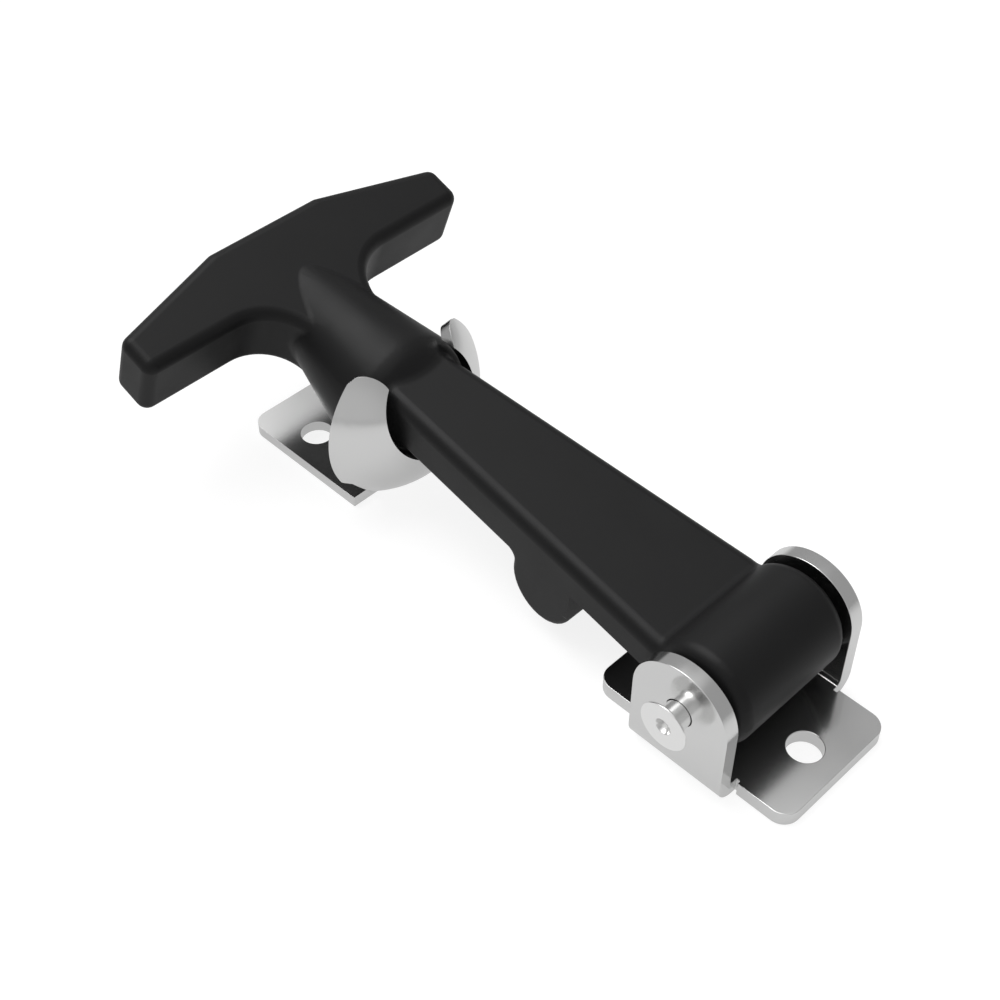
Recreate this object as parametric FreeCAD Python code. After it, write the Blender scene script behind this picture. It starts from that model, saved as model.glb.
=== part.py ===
import FreeCAD, Part
import math
import os

os.makedirs("parts", exist_ok=True)

V = FreeCAD.Vector

# Flexible draw latch. Origin on the mounting plane under the pivot axis, +X from the grip towards
# the pivot's free end, +Y across the latch along the pivot pin, +Z up. All lengths are millimetres.

# Pivot
PIVOT_Z = 14.5
PIN_R = 2.35
PIN_HOLE_CLEARANCE = 0.12
BORE_CLEARANCE = 0.07

# Bracket: one folded sheet
BRACKET_T = 2.7
BRACKET_HALF_L = 19.3
BRACKET_HALF_W = 12.7
BRACKET_CORNER_R = 3.0
BRACKET_HOLE_R = 3.0
BRACKET_HOLE_X = 12.75
BEND_R = 1.0
EAR_HALF_W = 9.1
RELIEF_W = 0.6

# Pivot pin: a turned rivet pin
HEAD_R = 4.3
HEAD_RIM = 0.35
HEAD_TAPER = 0.75
HEAD_STANDOFF = 2.5
RECESS_R = 1.45
RECESS_FLOOR_R = 0.9
RECESS_DEPTH = 1.3
FAR_HEAD_T = 1.2
FAR_HEAD_CHAMFER = 0.35

# Handle: barrel and arm. The arm is drawn in its own frame, tilted about the barrel's crown line
BARREL_R = 9.3
BARREL_SIDE_CLEARANCE = 1.1
BARREL_VALLEY_R = 2.0
ARM_TOP_Z = 18.7
ARM_TILT = 5.86
ARM_TAPER = 0.081
ARM_TAPER_START = 0.7
ARM_THICK_AT_GRIP = 9.45
ARM_THICK_AT_PIVOT = 6.65
OUTLINE_FILLET = 2.4
ARM_LOWER_FILLET = 1.2

# Handle: D-shaped stop lug under the arm, placed along the arm from the pivot
LUG_FACE_S = 26.35
LUG_CENTRE_S = 33.0
LUG_CENTRE_DEPTH = 12.0
LUG_R = 6.8
LUG_ROOT_FILLET = 1.4

# Handle: neck, a cone that ends in the round shoulder. Placed from the centre of the keeper's dish
CONE_APEX_BACK = 46.0
CONE_APEX_RISE = 19.7
CONE_TILT = 18.6
CONE_HALF_ANGLE = 12.6
NECK_START_BACK = 19.6
SHOULDER_EDGE_R = 6.0
SHOULDER_VALLEY_R = 2.8
NECK_VALLEY_R = 2.0

# Handle: T grip, drawn in its own tilted frame from its top front edge, placed from the dish too
GRIP_TILT = 19.6
GRIP_FRONT_BACK = 12.8
GRIP_FRONT_RISE = 15.5
GRIP_THICK = 13.5
GRIP_MID_DEPTH = 14.4
GRIP_MID_HALF_W = 11.85
GRIP_END_DEPTH = 8.0
GRIP_END_HALF_W = 35.6
GRIP_FILLET = 2.1
GRIP_ARC_R = 9.5
GRIP_STEM_HALF_W = 7.5

# Keeper: one pressed sheet with a dished fork, placed from the centre of its dish
DISH_R = 19.8
DISH_X = -86.4
DISH_Z = 16.1
KEEPER_T = 2.15
KEEPER_HALF_W = 12.8
KEEPER_FOOT_FRONT = 9.4
KEEPER_FOOT_BACK = 19.1
KEEPER_CORNER_R = 3.0
KEEPER_HOLE_R = 3.0
KEEPER_HOLE_BACK = 8.0
KEEPER_HOLE_Y = 6.35
FORK_FOOT_HALF_W = 9.35
FORK_NECK_Z = 7.6
FORK_NECK_HALF_W = 14.15
SLOT_R = 9.9
SLOT_Z = 21.0
HORN_Y = 10.0
HORN_Z = 27.0
HORN_TIP_R = 2.45
SHOULDER_CLEARANCE = 0.3

# Sizes that follow from the ones above
EAR_INNER_Y = BRACKET_HALF_W + BEND_R
EAR_OUTER_Y = EAR_INNER_Y + BRACKET_T
BARREL_HALF_L = EAR_INNER_Y - BARREL_SIDE_CLEARANCE
ARM_WIDEST_X = -(BARREL_R + ARM_TAPER_START)
DISH_INNER_R = DISH_R - KEEPER_T
SHOULDER_R = DISH_INNER_R - SHOULDER_CLEARANCE
KEEPER_FRONT_X = DISH_X + KEEPER_FOOT_FRONT
KEEPER_BACK_X = DISH_X - KEEPER_FOOT_BACK
KEEPER_HOLE_X = DISH_X - KEEPER_HOLE_BACK
HEAD_T = HEAD_RIM + HEAD_TAPER

# How closely a point has to lie on a line or a face to count as on it
EDGE_TOLERANCE = 0.05
SHEET_TOLERANCE = 0.001

# How far a cutting or trimming shape runs past the faces it cuts through
OVERRUN = 1.0


def box(x0, x1, y0, y1, z0, z1):
    return Part.makeBox(x1 - x0, y1 - y0, z1 - z0, V(x0, y0, z0))


def cylinder_y(radius, y0, y1, x, z):
    return Part.makeCylinder(radius, y1 - y0, V(x, y0, z), V(0, 1, 0))


def prism(points, direction):
    wire = Part.makePolygon(points + [points[0]])
    return Part.Face(wire).extrude(direction)


def edges_where(shape, test):
    return [edge for edge in shape.Edges if test(edge)]


def is_vertical(edge):
    box_ = edge.BoundBox
    return box_.XLength < EDGE_TOLERANCE and box_.YLength < EDGE_TOLERANCE


def bracket_base():
    plate = box(-BRACKET_HALF_L, BRACKET_HALF_L, -BRACKET_HALF_W, BRACKET_HALF_W, 0, BRACKET_T)
    plate = plate.makeFillet(BRACKET_CORNER_R, edges_where(plate, is_vertical))
    for side in (-1, 1):
        centre = V(side * BRACKET_HOLE_X, 0, -OVERRUN)
        plate = plate.cut(Part.makeCylinder(BRACKET_HOLE_R, BRACKET_T + 2 * OVERRUN, centre))
    return plate


def bracket_ear(side):
    """One ear with its bend, cut to a round top about the pivot axis."""
    inner, outer = BEND_R, BEND_R + BRACKET_T
    y = BRACKET_HALF_W
    top = PIVOT_Z + EAR_HALF_W + OVERRUN
    half = math.sqrt(0.5)
    bend_z = BRACKET_T + inner
    lines = [
        Part.LineSegment(V(0, y, 0), V(0, y, BRACKET_T)),
        Part.Arc(V(0, y, BRACKET_T), V(0, y + inner * half, bend_z - inner * half), V(0, y + inner, bend_z)),
        Part.LineSegment(V(0, y + inner, bend_z), V(0, y + inner, top)),
        Part.LineSegment(V(0, y + inner, top), V(0, y + outer, top)),
        Part.LineSegment(V(0, y + outer, top), V(0, y + outer, bend_z)),
        Part.Arc(V(0, y + outer, bend_z), V(0, y + outer * half, bend_z - outer * half), V(0, y, 0)),
    ]
    face = Part.Face(Part.Wire([line.toShape() for line in lines]))
    face.translate(V(-EAR_HALF_W, 0, 0))
    blank = face.extrude(V(2 * EAR_HALF_W, 0, 0))
    round_top = cylinder_y(EAR_HALF_W, 0, EAR_OUTER_Y + OVERRUN, 0, PIVOT_Z)
    lower = box(-EAR_HALF_W, EAR_HALF_W, 0, EAR_OUTER_Y + OVERRUN, -OVERRUN, PIVOT_Z)
    ear = blank.common(round_top.fuse(lower))
    ear = ear.cut(cylinder_y(PIN_R + PIN_HOLE_CLEARANCE, 0, EAR_OUTER_Y + OVERRUN, 0, PIVOT_Z))
    if side < 0:
        ear = ear.mirror(V(0, 0, 0), V(0, 1, 0))
    return ear


def make_bracket():
    body = bracket_base()
    for side in (-1, 1):
        body = body.fuse(bracket_ear(side))
        for end in (-1, 1):
            x = end * (EAR_HALF_W + RELIEF_W / 2)
            y = side * BRACKET_HALF_W
            half = RELIEF_W / 2
            high = BRACKET_T + OVERRUN
            body = body.cut(box(x - half, x + half, y - RELIEF_W, y + RELIEF_W, -OVERRUN, high))
    return body.removeSplitter()


def make_pivot_pin():
    """Turned profile, spun about the pivot axis: broad tapered head, shank and far head."""
    near = -EAR_OUTER_Y - HEAD_STANDOFF - HEAD_T
    far = EAR_OUTER_Y + FAR_HEAD_T
    profile = [
        (0, near + RECESS_DEPTH),
        (RECESS_FLOOR_R, near + RECESS_DEPTH),
        (RECESS_R, near),
        (HEAD_R, near),
        (HEAD_R, near + HEAD_RIM),
        (PIN_R, near + HEAD_T),
        (PIN_R, EAR_OUTER_Y),
        (HEAD_R, EAR_OUTER_Y),
        (HEAD_R, far - FAR_HEAD_CHAMFER),
        (HEAD_R - FAR_HEAD_CHAMFER, far),
        (0, far),
    ]
    points = [V(r, y, PIVOT_Z) for r, y in profile]
    face = Part.Face(Part.makePolygon(points + [points[0]]))
    return face.revolve(V(0, 0, PIVOT_Z), V(0, 1, 0), 360)


def arm_point(s, depth):
    """A point on the side view, by its distance along the arm and its depth under the arm's top."""
    tilt = math.radians(ARM_TILT)
    x = -s * math.cos(tilt) - depth * math.sin(tilt)
    z = ARM_TOP_Z + s * math.sin(tilt) - depth * math.cos(tilt)
    return V(x, 0, z)


def arm_side_profile():
    """Side view of the arm with the D-shaped lug under it, from the barrel to the shoulder."""
    far_s = -DISH_X / math.cos(math.radians(ARM_TILT))
    face_drop = math.sqrt(LUG_R ** 2 - (LUG_CENTRE_S - LUG_FACE_S) ** 2)
    lug_back_s = LUG_CENTRE_S + LUG_R
    corners = [
        arm_point(0, 0),
        arm_point(0, ARM_THICK_AT_PIVOT),
        arm_point(LUG_FACE_S, ARM_THICK_AT_PIVOT),
        arm_point(LUG_FACE_S, LUG_CENTRE_DEPTH + face_drop),
    ]
    bottom = arm_point(LUG_CENTRE_S, LUG_CENTRE_DEPTH + LUG_R)
    back = arm_point(lug_back_s, LUG_CENTRE_DEPTH)
    root = LUG_ROOT_FILLET
    root_low = arm_point(lug_back_s, ARM_THICK_AT_GRIP + root)
    turn = root * (1 - math.sqrt(0.5))
    root_mid = arm_point(lug_back_s + turn, ARM_THICK_AT_GRIP + turn)
    root_high = arm_point(lug_back_s + root, ARM_THICK_AT_GRIP)
    end_low = arm_point(far_s, ARM_THICK_AT_GRIP)
    end_high = arm_point(far_s, 0)
    lines = [Part.LineSegment(p, q) for p, q in zip(corners, corners[1:])]
    lines += [
        Part.Arc(corners[-1], bottom, back),
        Part.LineSegment(back, root_low),
        Part.Arc(root_low, root_mid, root_high),
        Part.LineSegment(root_high, end_low),
        Part.LineSegment(end_low, end_high),
        Part.LineSegment(end_high, corners[0]),
    ]
    return Part.Face(Part.Wire([line.toShape() for line in lines]))


def half_width(x):
    """Half the handle's width at x: even along the barrel, tapered along the arm."""
    return BARREL_HALF_L + min(0, ARM_TAPER * (x - ARM_WIDEST_X))


def make_arm():
    """The side view drawn across the width and tapered in plan."""
    face = arm_side_profile()
    face.translate(V(0, -BARREL_HALF_L, 0))
    blank = face.extrude(V(0, 2 * BARREL_HALF_L, 0))
    far_x = face.BoundBox.XMin - OVERRUN
    plan = [(x, -half_width(x)) for x in (far_x, ARM_WIDEST_X, BARREL_R)]
    plan += [(x, -y) for x, y in reversed(plan)]
    low = blank.BoundBox.ZMin - OVERRUN
    rise = V(0, 0, blank.BoundBox.ZLength + 2 * OVERRUN)
    outline = prism([V(x, y, low) for x, y in plan], rise)
    return blank.common(outline)


def middle(edge):
    return edge.valueAt((edge.FirstParameter + edge.LastParameter) / 2)


def depth_under_top(point):
    tilt = math.radians(ARM_TILT)
    return (ARM_TOP_Z - point.z) * math.cos(tilt) - point.x * math.sin(tilt)


def is_valley(edge):
    """The line across the handle where the arm's top meets the barrel."""
    runs_across = edge.BoundBox.YLength > BARREL_HALF_L and edge.BoundBox.XLength < EDGE_TOLERANCE
    return runs_across and middle(edge).x > -BARREL_R and middle(edge).z > PIVOT_Z


def is_on_side(edge):
    """An edge that runs along one of the handle's two sides."""
    ends = [edge.valueAt(edge.FirstParameter), edge.valueAt(edge.LastParameter)]
    points = ends + [middle(edge)]
    return all(abs(abs(point.y) - half_width(point.x)) < EDGE_TOLERANCE for point in points)


def is_outline(edge):
    """A side edge of the arm's top or of the barrel."""
    on_top = depth_under_top(middle(edge)) < EDGE_TOLERANCE + BARREL_VALLEY_R
    on_barrel = edge.BoundBox.XMax > BARREL_R / 2
    return is_on_side(edge) and (on_top or on_barrel)


def is_lower_side(edge):
    """A long side edge under the arm, between the lug and the shoulder."""
    depth = depth_under_top(middle(edge))
    under = abs(depth - ARM_THICK_AT_GRIP) < EDGE_TOLERANCE
    return is_on_side(edge) and under and edge.BoundBox.XLength > LUG_R


def make_spine():
    """Arm, lug and barrel in one, with the moulded radii along their outline."""
    barrel = cylinder_y(BARREL_R, -BARREL_HALF_L, BARREL_HALF_L, 0, PIVOT_Z)
    spine = make_arm().fuse(barrel).removeSplitter()
    spine = spine.makeFillet(BARREL_VALLEY_R, edges_where(spine, is_valley))
    spine = spine.makeFillet(OUTLINE_FILLET, edges_where(spine, is_outline))
    return spine.makeFillet(ARM_LOWER_FILLET, edges_where(spine, is_lower_side))


def neck_axis():
    """The apex of the neck's cone and the way it points."""
    tilt = math.radians(CONE_TILT)
    apex = V(DISH_X - CONE_APEX_BACK, 0, DISH_Z + CONE_APEX_RISE)
    return apex, V(math.cos(tilt), 0, -math.sin(tilt))


def make_neck():
    """A cone along its tilted axis, cut by the ball of the shoulder that sits in the dish."""
    apex, axis = neck_axis()
    start = (CONE_APEX_BACK - NECK_START_BACK) / axis.x
    end = (CONE_APEX_BACK + DISH_R) / axis.x ** 2
    grow = math.tan(math.radians(CONE_HALF_ANGLE))
    cone = Part.makeCone(start * grow, end * grow, end - start, apex + axis * start, axis)
    ball = Part.makeSphere(SHOULDER_R, V(DISH_X, 0, DISH_Z), V(0, 1, 0))
    reach = end * grow
    behind = box(apex.x, DISH_X, -reach, reach, DISH_Z - 2 * reach, DISH_Z + 2 * reach)
    neck = cone.common(ball.fuse(behind))
    rim = edges_where(neck, lambda edge: edge.Length > 2 * SHOULDER_R and middle(edge).x > DISH_X)
    return neck.makeFillet(SHOULDER_EDGE_R, rim)


def grip_outline():
    """Plan of the grip in its own plane: depth runs back from the front edge, width across."""
    arc_y = GRIP_STEM_HALF_W + GRIP_ARC_R
    half = math.sqrt(0.5)
    stem_end = -GRIP_ARC_R - 2 * GRIP_FILLET
    lines = []
    for side in (1, -1):
        arc_in = V(-GRIP_ARC_R, side * GRIP_STEM_HALF_W, 0)
        arc_mid = V(-GRIP_ARC_R * (1 - half), side * (arc_y - GRIP_ARC_R * half), 0)
        arc_out = V(0, side * arc_y, 0)
        corners = [
            arc_out,
            V(0, side * GRIP_END_HALF_W, 0),
            V(GRIP_END_DEPTH, side * GRIP_END_HALF_W, 0),
            V(GRIP_MID_DEPTH, side * GRIP_MID_HALF_W, 0),
            V(GRIP_MID_DEPTH, 0, 0),
        ]
        stem = [V(stem_end, 0, 0), V(stem_end, side * GRIP_STEM_HALF_W, 0), arc_in]
        lines += [Part.LineSegment(p, q) for p, q in zip(stem, stem[1:])]
        lines.append(Part.Arc(arc_in, arc_mid, arc_out))
        lines += [Part.LineSegment(p, q) for p, q in zip(corners, corners[1:])]
    return Part.Face(Part.Wire(Part.__sortEdges__([line.toShape() for line in lines])))


def make_grip():
    """The grip's plate, rounded all over and tilted back about its top front edge."""
    plate = grip_outline().extrude(V(0, 0, -GRIP_THICK))
    plate = plate.makeFillet(GRIP_FILLET, plate.Edges)
    plate.rotate(V(0, 0, 0), V(0, 0, 1), 180)
    plate.rotate(V(0, 0, 0), V(0, 1, 0), GRIP_TILT)
    plate.translate(V(DISH_X - GRIP_FRONT_BACK, 0, DISH_Z + GRIP_FRONT_RISE))
    return plate


def is_shoulder_valley(edge):
    """The lines where the shoulder's ball drops to the arm's rounded top."""
    point = middle(edge)
    ball = point.distanceToPoint(V(DISH_X, 0, DISH_Z))
    near_ball = abs(ball - SHOULDER_R) < EDGE_TOLERANCE
    return near_ball and point.x > DISH_X and abs(depth_under_top(point)) < OUTLINE_FILLET


def off_cone(point):
    """How far a point lies from the surface of the neck's cone."""
    apex, axis = neck_axis()
    reach = point - apex
    along = reach.dot(axis)
    out = (reach - axis * along).Length
    half = math.radians(CONE_HALF_ANGLE)
    return abs(out * math.cos(half) - along * math.sin(half))


def is_neck_valley(edge):
    """A line where the neck's cone meets the grip."""
    points = [edge.valueAt(edge.FirstParameter), edge.valueAt(edge.LastParameter), middle(edge)]
    on_cone = all(off_cone(point) < EDGE_TOLERANCE for point in points)
    return on_cone and middle(edge).x < DISH_X and abs(middle(edge).y) > EDGE_TOLERANCE


def make_handle():
    """One moulding: spine, neck and grip with soft valleys between them, and the pivot's bore."""
    handle = make_spine().fuse([make_neck(), make_grip()]).removeSplitter()
    handle = handle.makeFillet(SHOULDER_VALLEY_R, edges_where(handle, is_shoulder_valley))
    handle = handle.makeFillet(NECK_VALLEY_R, edges_where(handle, is_neck_valley))
    bore_r = PIN_R + BORE_CLEARANCE
    return handle.cut(cylinder_y(bore_r, -EAR_INNER_Y, EAR_INNER_Y, 0, PIVOT_Z))


def keeper_base():
    """Flat foot with two rounded corners at the grip's end and the two screw holes."""
    plate = box(KEEPER_BACK_X, KEEPER_FRONT_X, -KEEPER_HALF_W, KEEPER_HALF_W, 0, KEEPER_T)
    back = edges_where(plate, lambda edge: is_vertical(edge) and middle(edge).x < KEEPER_HOLE_X)
    plate = plate.makeFillet(KEEPER_CORNER_R, back)
    for side in (-1, 1):
        centre = V(KEEPER_HOLE_X, side * KEEPER_HOLE_Y, -OVERRUN)
        plate = plate.cut(Part.makeCylinder(KEEPER_HOLE_R, KEEPER_T + 2 * OVERRUN, centre))
    return plate


def fork_outline():
    """Front view of the fork: foot, round head and the horns' rounded tips."""
    wide = 2 * DISH_R
    rim_reach = math.hypot(HORN_Y, HORN_Z - DISH_Z)
    out_y, out_z = HORN_Y / rim_reach, (HORN_Z - DISH_Z) / rim_reach
    lines = []
    for side in (1, -1):
        tip_out = V(0, side * (HORN_Y + HORN_TIP_R * out_y), HORN_Z + HORN_TIP_R * out_z)
        tip_top = V(0, side * HORN_Y, HORN_Z + HORN_TIP_R)
        tip_in = V(0, side * (HORN_Y - HORN_TIP_R), HORN_Z)
        corners = [
            tip_out,
            V(0, side * (HORN_Y + wide * out_y), HORN_Z + wide * out_z),
            V(0, side * wide, FORK_NECK_Z),
            V(0, side * FORK_NECK_HALF_W, FORK_NECK_Z),
            V(0, side * FORK_FOOT_HALF_W, KEEPER_T),
            V(0, side * FORK_FOOT_HALF_W, 0),
            V(0, 0, 0),
        ]
        lines += [Part.LineSegment(p, q) for p, q in zip(corners, corners[1:])]
        lines.append(Part.Arc(tip_in, tip_top, tip_out))
        lines.append(Part.LineSegment(V(0, 0, HORN_Z), tip_in))
    return Part.Face(Part.Wire(Part.__sortEdges__([line.toShape() for line in lines])))


def make_fork():
    """The fork's outer face, cut from the dish's ball, thickened towards its centre and slotted."""
    length = DISH_X + DISH_R + OVERRUN - KEEPER_FRONT_X
    outline = fork_outline()
    outline.translate(V(KEEPER_FRONT_X, 0, 0))
    ball = Part.makeSphere(DISH_R, V(DISH_X, 0, DISH_Z), V(0, 1, 0))
    trimmed = ball.Faces[0].common(outline.extrude(V(length, 0, 0)))
    fork = trimmed.Faces[0].makeOffsetShape(-KEEPER_T, SHEET_TOLERANCE, fill=True)
    slot_start = V(KEEPER_FRONT_X - OVERRUN, 0, SLOT_Z)
    slot = Part.makeCylinder(SLOT_R, length + 2 * OVERRUN, slot_start, V(1, 0, 0))
    return fork.cut(slot)


def make_keeper():
    """Foot and dished fork pressed from one sheet, with the round slot that the arm passes through."""
    ball = Part.makeSphere(DISH_R, V(DISH_X, 0, DISH_Z), V(0, 1, 0))
    foot = box(KEEPER_FRONT_X, DISH_X + DISH_R, -FORK_FOOT_HALF_W, FORK_FOOT_HALF_W, 0, KEEPER_T)
    return keeper_base().fuse([make_fork(), foot.common(ball)]).removeSplitter()


def single(shape):
    return shape.Solids[0] if len(shape.Solids) == 1 else shape


def main():
    nodes = {
        "bracket": make_bracket(),
        "pivot_pin": make_pivot_pin(),
        "handle": make_handle(),
        "keeper": make_keeper(),
    }
    for name, shape in nodes.items():
        single(shape).exportStep(os.path.join("parts", name + ".step"))
        print(name, shape.isValid(), len(shape.Solids), round(shape.Volume), "mm3")


main()
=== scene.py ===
import bpy
import bmesh
import math
from mathutils import Matrix, Vector


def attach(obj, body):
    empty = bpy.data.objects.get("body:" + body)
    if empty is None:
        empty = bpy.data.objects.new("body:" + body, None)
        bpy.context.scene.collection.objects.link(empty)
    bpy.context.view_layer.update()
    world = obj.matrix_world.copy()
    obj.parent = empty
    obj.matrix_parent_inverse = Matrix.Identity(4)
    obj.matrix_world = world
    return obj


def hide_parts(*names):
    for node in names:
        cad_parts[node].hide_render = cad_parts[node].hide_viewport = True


mm = 0.001      # the scene is in metres

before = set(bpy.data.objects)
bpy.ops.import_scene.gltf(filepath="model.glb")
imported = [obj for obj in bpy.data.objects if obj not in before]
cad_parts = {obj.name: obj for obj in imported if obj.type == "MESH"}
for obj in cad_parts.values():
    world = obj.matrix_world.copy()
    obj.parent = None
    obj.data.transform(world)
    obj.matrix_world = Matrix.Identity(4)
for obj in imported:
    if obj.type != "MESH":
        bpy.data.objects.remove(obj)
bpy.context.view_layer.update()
print("frame loaded", sorted(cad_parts))


# small helpers for meshes

meshCare = {
    "copyGap": 0.002 * mm,      # points of a fresh copy that lie closer are made one
    "roundGap": 0.001 * mm,     # the same once the edges are rounded
    "edgeAngle": 30.0,          # a sharper turn than this, in degrees, is an edge to round
    "softAngle": 50.0,          # faces that turn by less than this, in degrees, are shaded as one
}


def closeGaps(piece, gap):
    # join points that lie closer than the gap and drop the faces this leaves without area
    bm = bmesh.new()
    bm.from_mesh(piece.data)
    bmesh.ops.remove_doubles(bm, verts=bm.verts, dist=gap)
    bmesh.ops.dissolve_degenerate(bm, dist=gap, edges=bm.edges)
    bmesh.ops.recalc_face_normals(bm, faces=bm.faces)
    bm.to_mesh(piece.data)
    bm.free()


def copyOfNode(nodeName, pieceName):
    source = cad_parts[nodeName]
    mesh = source.data.copy()
    mesh.name = pieceName
    mesh.materials.clear()
    piece = bpy.data.objects.new(pieceName, mesh)
    piece.matrix_world = source.matrix_world.copy()
    bpy.context.scene.collection.objects.link(piece)
    closeGaps(piece, meshCare["copyGap"])
    return piece


def applyModifiers(piece):
    graph = bpy.context.evaluated_depsgraph_get()
    done = bpy.data.meshes.new_from_object(piece.evaluated_get(graph), depsgraph=graph)
    piece.modifiers.clear()
    old = piece.data
    piece.data = done
    bpy.data.meshes.remove(old)


def joinFlats(piece, look):
    # merge the triangles of each flat face so that the edges alone are left to round
    limit = math.radians(look["flatAngle"])
    bm = bmesh.new()
    bm.from_mesh(piece.data)
    bmesh.ops.dissolve_limit(bm, angle_limit=limit, verts=bm.verts, edges=bm.edges)
    bm.to_mesh(piece.data)
    bm.free()


def roundEdges(piece, look):
    # the clamp keeps faces from folding over, and holds the width to the piece's shortest edges
    bevel = piece.modifiers.new("edges", "BEVEL")
    bevel.width = look["edgeRound"]
    bevel.segments = look["edgeSegments"]
    bevel.limit_method = "ANGLE"
    bevel.angle_limit = math.radians(meshCare["edgeAngle"])
    bevel.use_clamp_overlap = True
    applyModifiers(piece)
    closeGaps(piece, meshCare["roundGap"])
    for face in piece.data.polygons:
        face.use_smooth = True
    settleNormals(piece, look["flatArea"])


def settleNormals(piece, flatArea):
    # broad flat faces keep their own direction, and the round faces beside them run into it
    limit = math.cos(math.radians(meshCare["softAngle"]))
    bm = bmesh.new()
    bm.from_mesh(piece.data)
    areas = {face: face.calc_area() for face in bm.faces}
    normals = []
    for face in bm.faces:
        for corner in face.loops:
            around = corner.vert.link_faces
            near = [other for other in around if other.normal.dot(face.normal) > limit]
            broad = max(near + [face], key=areas.get)
            if areas[broad] >= flatArea:
                normals.append(broad.normal.copy())
                continue
            total = Vector((0, 0, 0))
            for other in near:
                total += other.normal * areas[other]
            normals.append(total.normalized() if total.length else face.normal.copy())
    piece.data.normals_split_custom_set(normals)
    # wear belongs to the rounded edges alone, so the broad faces are marked off from it
    marks = [0.0 if areas[face] >= flatArea else 1.0 for face in bm.faces]
    edgeBand = piece.data.attributes.new("edgeBand", "FLOAT", "FACE")
    edgeBand.data.foreach_set("value", marks)
    bm.free()


# shader node groups shared by the materials

def newGroup(name, inputs, outputs):
    # every input and output is a plain number, and the inputs come with a first value
    group = bpy.data.node_groups.new(name, "ShaderNodeTree")
    kind = "NodeSocketFloat"
    for label, value in inputs.items():
        socket = group.interface.new_socket(name=label, in_out="INPUT", socket_type=kind)
        socket.default_value = value
    for label in outputs:
        group.interface.new_socket(name=label, in_out="OUTPUT", socket_type=kind)
    return group, group.nodes.new("NodeGroupInput"), group.nodes.new("NodeGroupOutput")


def addNode(tree, kind, **settings):
    node = tree.nodes.new(kind)
    for key, value in settings.items():
        setattr(node, key, value)
    return node


def feed(tree, value, socket):
    # link another node's output, or set a plain value
    if hasattr(value, "is_output"):
        tree.links.new(value, socket)
    else:
        socket.default_value = value


def mathNode(tree, operation, first, second, clamp=False):
    node = addNode(tree, "ShaderNodeMath", operation=operation, use_clamp=clamp)
    feed(tree, first, node.inputs[0])
    feed(tree, second, node.inputs[1])
    return node.outputs[0]


def noiseNode(tree, place, scale, detail=2.0, roughness=0.5):
    node = addNode(tree, "ShaderNodeTexNoise")
    node.inputs["Detail"].default_value = detail
    node.inputs["Roughness"].default_value = roughness
    tree.links.new(place, node.inputs["Vector"])
    tree.links.new(scale, node.inputs["Scale"])
    return node.outputs["Fac"]


def buildMouldGrain():
    # fine pitted skin of a moulded surface, with slow cloudiness under it
    group, start, end = newGroup(
        "mouldGrain", {"grainScale": 3200.0, "cloudScale": 90.0}, ("height", "cloud"))
    place = addNode(group, "ShaderNodeTexCoord").outputs["Object"]
    grain = noiseNode(group, place, start.outputs["grainScale"], detail=3.0, roughness=0.6)
    cloud = noiseNode(group, place, start.outputs["cloudScale"], detail=4.0)
    group.links.new(grain, end.inputs["height"])
    group.links.new(cloud, end.inputs["cloud"])
    return group


def buildRolledGrain():
    # long faint lines that rolling and polishing leave on sheet, plus slow smears
    group, start, end = newGroup(
        "rolledGrain", {"lineScale": 900.0, "stretch": 0.03, "smearScale": 60.0},
        ("lines", "smear"))
    place = addNode(group, "ShaderNodeTexCoord").outputs["Object"]
    squeeze = addNode(group, "ShaderNodeCombineXYZ")
    squeeze.inputs["Y"].default_value = 1.0
    squeeze.inputs["Z"].default_value = 1.0
    along = addNode(group, "ShaderNodeVectorMath", operation="MULTIPLY")
    group.links.new(start.outputs["stretch"], squeeze.inputs["X"])
    group.links.new(place, along.inputs[0])
    group.links.new(squeeze.outputs["Vector"], along.inputs[1])
    lines = noiseNode(group, along.outputs["Vector"], start.outputs["lineScale"])
    smear = noiseNode(group, place, start.outputs["smearScale"], detail=3.0)
    group.links.new(lines, end.inputs["lines"])
    group.links.new(smear, end.inputs["smear"])
    return group


def buildEdgeWear():
    # mask that rises on outer edges, broken up by noise and kept off the broad faces
    group, start, end = newGroup(
        "edgeWear", {"from": 0.52, "to": 0.62, "breakUp": 500.0}, ("mask",))
    place = addNode(group, "ShaderNodeTexCoord").outputs["Object"]
    span = addNode(group, "ShaderNodeMapRange")
    shape = addNode(group, "ShaderNodeNewGeometry")
    group.links.new(shape.outputs["Pointiness"], span.inputs["Value"])
    group.links.new(start.outputs["from"], span.inputs["From Min"])
    group.links.new(start.outputs["to"], span.inputs["From Max"])
    noise = noiseNode(group, place, start.outputs["breakUp"])
    band = addNode(group, "ShaderNodeAttribute", attribute_name="edgeBand")
    broken = mathNode(group, "MULTIPLY", span.outputs["Result"], noise)
    mask = mathNode(group, "MULTIPLY", broken, band.outputs["Fac"], clamp=True)
    group.links.new(mask, end.inputs["mask"])
    return group


groups = {"grain": buildMouldGrain(), "rolled": buildRolledGrain(), "wear": buildEdgeWear()}
print("node groups built")


# what the materials have in common

colourSockets = {"low": 6, "high": 7, "result": 2}      # of a Mix node, where names repeat
noiseSpan = (0.3, 0.7)      # nearly all of a noise node's values lie in it


def placeGroup(tree, key, **values):
    node = addNode(tree, "ShaderNodeGroup", node_tree=groups[key])
    for label, value in values.items():
        node.inputs[label].default_value = value
    return node


def newMaterial(name):
    material = bpy.data.materials.new(name)
    material.use_nodes = True
    tree = material.node_tree
    return material, tree, tree.nodes["Principled BSDF"]


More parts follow.
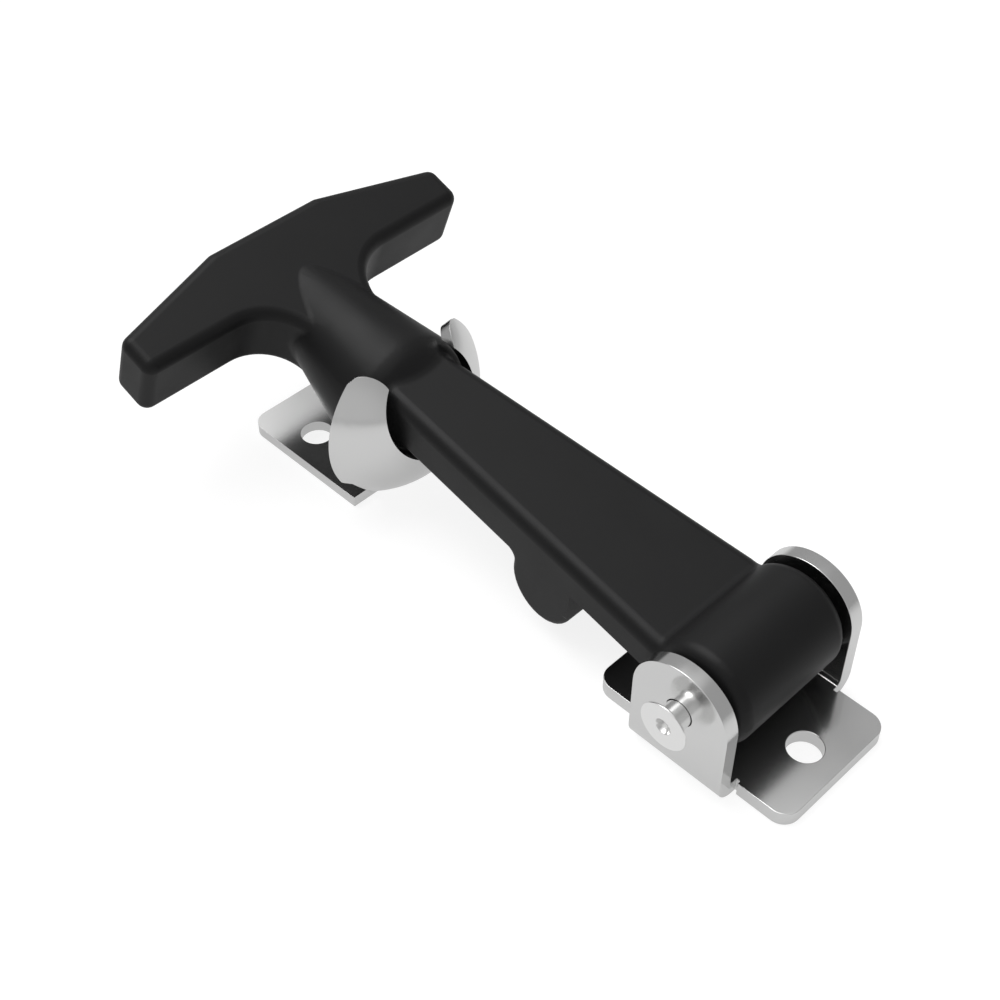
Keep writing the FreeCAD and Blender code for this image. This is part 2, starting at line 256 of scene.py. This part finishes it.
def mixColours(tree, factor, low, high):
    node = addNode(tree, "ShaderNodeMix", data_type="RGBA")
    tree.links.new(factor, node.inputs["Factor"])
    feed(tree, low, node.inputs[colourSockets["low"]])
    feed(tree, high, node.inputs[colourSockets["high"]])
    return node.outputs[colourSockets["result"]]


def spread(tree, value, low, high):
    node = addNode(tree, "ShaderNodeMapRange")
    tree.links.new(value, node.inputs["Value"])
    node.inputs["From Min"].default_value = noiseSpan[0]
    node.inputs["From Max"].default_value = noiseSpan[1]
    node.inputs["To Min"].default_value = low
    node.inputs["To Max"].default_value = high
    return node.outputs["Result"]


def finishSurface(tree, shader, look, slow, fine):
    # slow noise varies tone and roughness, wear lightens the edges, fine noise is the bump
    wear = placeGroup(tree, "wear", breakUp=look["wearBreakUp"])
    tone = mixColours(tree, slow, look["toneLow"], look["toneHigh"])
    colour = mixColours(tree, wear.outputs["mask"], tone, look["toneWorn"])
    tree.links.new(colour, shader.inputs["Base Color"])
    rough = spread(tree, slow, look["roughLow"], look["roughHigh"])
    tree.links.new(rough, shader.inputs["Roughness"])
    bump = addNode(tree, "ShaderNodeBump")
    bump.inputs["Strength"].default_value = look["bumpStrength"]
    bump.inputs["Distance"].default_value = look["bumpDepth"]
    tree.links.new(fine, bump.inputs["Height"])
    tree.links.new(bump.outputs["Normal"], shader.inputs["Normal"])


# rubber handle

handleLook = {
    "flatAngle": 0.05,          # triangles that turn by less than this, in degrees, are one face
    "flatArea": 90 * mm * mm,   # a face this large counts as broad and flat
    "edgeRound": 0.35 * mm,     # the clamp lets only about 0.003 mm of it through here
    "edgeSegments": 3,
    "toneLow": (0.0085, 0.0085, 0.0088, 1),
    "toneHigh": (0.0112, 0.0112, 0.0115, 1),
    "toneWorn": (0.018, 0.018, 0.0184, 1),
    "wearBreakUp": 700.0,
    "roughLow": 0.40,
    "roughHigh": 0.48,
    "specular": 0.20,
    "grainScale": 3200.0,
    "cloudScale": 90.0,
    "bumpDepth": 0.02 * mm,
    "bumpStrength": 0.3,
}


def rubberMaterial(look):
    material, tree, shader = newMaterial("handleRubber")
    grain = placeGroup(
        tree, "grain", grainScale=look["grainScale"], cloudScale=look["cloudScale"])
    finishSurface(tree, shader, look, grain.outputs["cloud"], grain.outputs["height"])
    shader.inputs["Specular IOR Level"].default_value = look["specular"]
    return material


def buildHandle():
    piece = copyOfNode("handle", "handleMoulding")
    joinFlats(piece, handleLook)
    roundEdges(piece, handleLook)
    piece.data.materials.append(rubberMaterial(handleLook))
    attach(piece, "handle")
    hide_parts("handle")
    return piece


handlePiece = buildHandle()
print("handle moulding built", len(handlePiece.data.polygons), "faces")


# steel sheet parts

sheetLook = {
    "flatAngle": 1.0,
    "flatArea": 20 * mm * mm,
    "edgeRound": 0.12 * mm,     # all of it on the bracket, about 0.03 mm on the keeper
    "edgeSegments": 2,
    "toneLow": (0.75, 0.75, 0.747, 1),
    "toneHigh": (0.80, 0.80, 0.797, 1),
    "toneWorn": (0.86, 0.86, 0.855, 1),
    "wearBreakUp": 350.0,
    "roughLow": 0.13,
    "roughHigh": 0.20,
    "lineScale": 900.0,
    "lineStretch": 0.03,        # slows the noise along X, which draws it out into lines
    "smearScale": 60.0,
    "bumpDepth": 0.002 * mm,
    "bumpStrength": 0.08,
}


def steelMaterial(name, look):
    material, tree, shader = newMaterial(name)
    rolled = placeGroup(
        tree, "rolled", lineScale=look["lineScale"], stretch=look["lineStretch"],
        smearScale=look["smearScale"])
    finishSurface(tree, shader, look, rolled.outputs["smear"], rolled.outputs["lines"])
    shader.inputs["Metallic"].default_value = 1.0
    return material


sheetSteel = steelMaterial("sheetSteel", sheetLook)


# the cut that takes a small step off the outer corner of both horn tips of the keeper

hornLook = {
    "ballCentre": (-86.4 * mm, 0, 16.1 * mm),       # of the dished face's outside
    "ballRadius": 19.8 * mm,
    "cutFrom": (10.99 * mm, 29.24 * mm),            # side and height of two points on the ball
    "cutTo": (12.35 * mm, 28.40 * mm),
    "cutLength": 5 * mm,
    "cutDepth": 1.5 * mm,                           # past the cut, outwards and over the ball
    "cutFloor": 16.4 * mm,                          # from the ball's centre, inside the dish
    "cutGap": 0.02 * mm,                            # points of the cut that lie closer are one
}


def hornCutter(side):
    # a block whose flat side runs through both points, square to the dished face
    look = hornLook
    centre = Vector(look["ballCentre"])
    ends = []
    for out, height in (look["cutFrom"], look["cutTo"]):
        rise = height - centre.z
        reach = math.hypot(out, rise)
        forward = math.sqrt(look["ballRadius"] ** 2 - reach ** 2)
        ends.append(Vector((forward, side * out, rise)))
    outward = ends[0].cross(ends[1]).normalized()
    if outward.z < 0:
        outward = -outward
    middle = (ends[0] + ends[1]).normalized()
    along = middle.cross(outward).normalized()
    bm = bmesh.new()
    bmesh.ops.create_cube(bm, size=1.0)
    for vert in bm.verts:
        x, y, z = vert.co
        radial = look["ballRadius"] + look["cutDepth"] if y > 0 else look["cutFloor"]
        vert.co = (centre + along * x * look["cutLength"] + middle * radial
                   + outward * (z + 0.5) * look["cutDepth"])
    bmesh.ops.recalc_face_normals(bm, faces=bm.faces)
    mesh = bpy.data.meshes.new("hornCutter")
    bm.to_mesh(mesh)
    bm.free()
    cutter = bpy.data.objects.new("hornCutter", mesh)
    bpy.context.scene.collection.objects.link(cutter)
    return cutter


def trimHorns(piece):
    for side in (-1, 1):
        cutter = hornCutter(side)
        cut = piece.modifiers.new("cut", "BOOLEAN")
        cut.operation = "DIFFERENCE"
        cut.solver = "EXACT"
        cut.object = cutter
        applyModifiers(piece)
        mesh = cutter.data
        bpy.data.objects.remove(cutter)
        bpy.data.meshes.remove(mesh)
    closeGaps(piece, hornLook["cutGap"])


def buildSheet(node, pieceName, body):
    piece = copyOfNode(node, pieceName)
    if node == "keeper":
        trimHorns(piece)
    joinFlats(piece, sheetLook)
    roundEdges(piece, sheetLook)
    piece.data.materials.append(sheetSteel)
    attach(piece, body)
    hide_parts(node)
    return piece


bracketPiece = buildSheet("bracket", "bracketSheet", "bracket")
print("bracket sheet built", len(bracketPiece.data.polygons), "faces")
keeperPiece = buildSheet("keeper", "keeperSheet", "keeper")
print("keeper sheet built", len(keeperPiece.data.polygons), "faces")


# pivot pin

pinLook = {
    "flatAngle": 0.05,
    "flatArea": 20 * mm * mm,
    "edgeRound": 0.08 * mm,
    "edgeSegments": 2,
    "toneLow": (0.93, 0.93, 0.925, 1),
    "toneHigh": (0.97, 0.97, 0.965, 1),
    "toneWorn": (0.98, 0.98, 0.975, 1),
    "wearBreakUp": 350.0,
    "roughLow": 0.14,
    "roughHigh": 0.22,
    "lineScale": 900.0,
    "lineStretch": 0.03,
    "smearScale": 60.0,
    "bumpDepth": 0.002 * mm,
    "bumpStrength": 0.2,
}


def buildPin():
    piece = copyOfNode("pivot_pin", "pivotRivet")
    joinFlats(piece, pinLook)
    roundEdges(piece, pinLook)
    piece.data.materials.append(steelMaterial("pinSteel", pinLook))
    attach(piece, "bracket")
    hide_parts("pivot_pin")
    return piece


pinPiece = buildPin()
print("pivot pin built", len(pinPiece.data.polygons), "faces")


# floor and light

floorLook = {
    "size": 3.0,
    "place": (-48 * mm, 0, -0.1 * mm),      # under the object's middle, just below its base
    "tone": (0.25, 0.25, 0.25, 1),
    "rough": 0.9,
    # the floor gives off painted light of its own: a glow stronger round the object than far off,
    # which lights the object and shows in its reflections
    "glowNear": 0.48,                       # round the object, as the object sees it
    "glowFar": 0.24,
    "near": 50 * mm,
    "far": 300 * mm,
    "white": 0.84,                          # as the direct view sees it, like a studio sweep
}

roomLook = {
    "tone": 0.36,
    "white": 1.2,                           # behind the floor's edge, as the direct view sees it
}

# turn, rise, spread and even middle in degrees
roomLights = {
    "softbox": {"turn": 185.0, "rise": 62.0, "spread": 34.0, "middle": 14.0, "strength": 3.05},
    "ceiling": {"turn": 0.0, "rise": 90.0, "spread": 40.0, "middle": 0.0, "strength": 0.60},
    "frontFill": {"turn": -60.0, "rise": 0.0, "spread": 60.0, "middle": 10.0, "strength": 0.18},
}


def seenDirectly(tree, white, otherwise):
    # the direct view sees plain white, and the object sees the other value
    path = addNode(tree, "ShaderNodeLightPath")
    seen = addNode(tree, "ShaderNodeMix", data_type="FLOAT")
    tree.links.new(path.outputs["Is Camera Ray"], seen.inputs["Factor"])
    tree.links.new(otherwise, seen.inputs["A"])
    seen.inputs["B"].default_value = white
    return seen.outputs["Result"]


def floorMaterial():
    look = floorLook
    material, tree, shader = newMaterial("paleFloor")
    shader.inputs["Base Color"].default_value = look["tone"]
    shader.inputs["Roughness"].default_value = look["rough"]
    shader.inputs["Specular IOR Level"].default_value = 0.0
    shader.inputs["Emission Color"].default_value = (1, 1, 1, 1)
    # painted light: the floor glows, stronger near the object and fading with distance, while the
    # direct view sees it evenly white
    coords = addNode(tree, "ShaderNodeTexCoord")
    away = addNode(tree, "ShaderNodeVectorMath", operation="LENGTH")
    tree.links.new(coords.outputs["Object"], away.inputs[0])
    glow = addNode(tree, "ShaderNodeMapRange", interpolation_type="SMOOTHSTEP")
    tree.links.new(away.outputs["Value"], glow.inputs["Value"])
    glow.inputs["From Min"].default_value = look["near"]
    glow.inputs["From Max"].default_value = look["far"]
    glow.inputs["To Min"].default_value = look["glowNear"]
    glow.inputs["To Max"].default_value = look["glowFar"]
    strength = seenDirectly(tree, look["white"], glow.outputs["Result"])
    tree.links.new(strength, shader.inputs["Emission Strength"])
    return material


def buildFloor():
    half = floorLook["size"] / 2
    corners = [(-half, -half, 0), (half, -half, 0), (half, half, 0), (-half, half, 0)]
    mesh = bpy.data.meshes.new("floor")
    mesh.from_pydata(corners, [], [(0, 1, 2, 3)])
    floor = bpy.data.objects.new("floor", mesh)
    floor.location = floorLook["place"]
    bpy.context.scene.collection.objects.link(floor)
    mesh.materials.append(floorMaterial())


def lightGlow(tree, place, light):
    # a soft round patch of light on the room's walls
    turn, rise = math.radians(light["turn"]), math.radians(light["rise"])
    facing = addNode(tree, "ShaderNodeVectorMath", operation="DOT_PRODUCT")
    facing.inputs[1].default_value = (
        math.cos(turn) * math.cos(rise), math.sin(turn) * math.cos(rise), math.sin(rise))
    glow = addNode(tree, "ShaderNodeMapRange", interpolation_type="SMOOTHSTEP")
    glow.inputs["From Min"].default_value = math.cos(math.radians(light["spread"]))
    glow.inputs["From Max"].default_value = math.cos(math.radians(light["middle"]))
    glow.inputs["To Max"].default_value = light["strength"]
    tree.links.new(place, facing.inputs[0])
    tree.links.new(facing.outputs["Value"], glow.inputs["Value"])
    return glow.outputs["Result"]


def buildRoom():
    # even pale walls, lit by broad soft lights that the object sees all round it
    world = bpy.data.worlds.new("studio")
    bpy.context.scene.world = world
    world.use_nodes = True
    tree = world.node_tree
    place = addNode(tree, "ShaderNodeTexCoord").outputs["Generated"]
    total = roomLook["tone"]
    for light in roomLights.values():
        total = mathNode(tree, "ADD", lightGlow(tree, place, light), total)
    walls = tree.nodes["Background"]
    walls.inputs["Color"].default_value = (1, 1, 1, 1)
    tree.links.new(seenDirectly(tree, roomLook["white"], total), walls.inputs["Strength"])


buildFloor()
buildRoom()
print("floor and light placed")


# camera at the photograph's viewing angle

cameraLook = {
    "turn": 44.61,
    "rise": 45.19,
    "roll": 0.357,
    "place": (88.676 * mm, -144.085 * mm, 213.054 * mm),
    "focalPixels": 1686.8,
    "imagePixels": 1000.0,
    "sensorWidth": 36.0,        # millimetres, as the lens is
    "clipNear": 0.01,
    "clipFar": 20.0,
}


def buildCamera():
    look = cameraLook
    turn, rise, roll = (math.radians(look[key]) for key in ("turn", "rise", "roll"))
    level = math.cos(rise)
    back = Vector((math.sin(turn) * level, -math.cos(turn) * level, math.sin(rise)))
    right = Vector((math.cos(turn), math.sin(turn), 0))
    up = back.cross(right)
    rightRolled = right * math.cos(roll) + up * math.sin(roll)
    upRolled = up * math.cos(roll) - right * math.sin(roll)
    data = bpy.data.cameras.new("camera")
    data.sensor_fit = "HORIZONTAL"
    data.sensor_width = look["sensorWidth"]
    data.lens = look["focalPixels"] * look["sensorWidth"] / look["imagePixels"]
    data.clip_start = look["clipNear"]
    data.clip_end = look["clipFar"]
    camera = bpy.data.objects.new("camera", data)
    turned = Matrix((rightRolled, upRolled, back)).transposed().to_4x4()
    camera.matrix_world = Matrix.Translation(look["place"]) @ turned
    bpy.context.scene.collection.objects.link(camera)
    bpy.context.scene.camera = camera


buildCamera()
bpy.context.scene.view_settings.view_transform = "Standard"
print("camera placed")
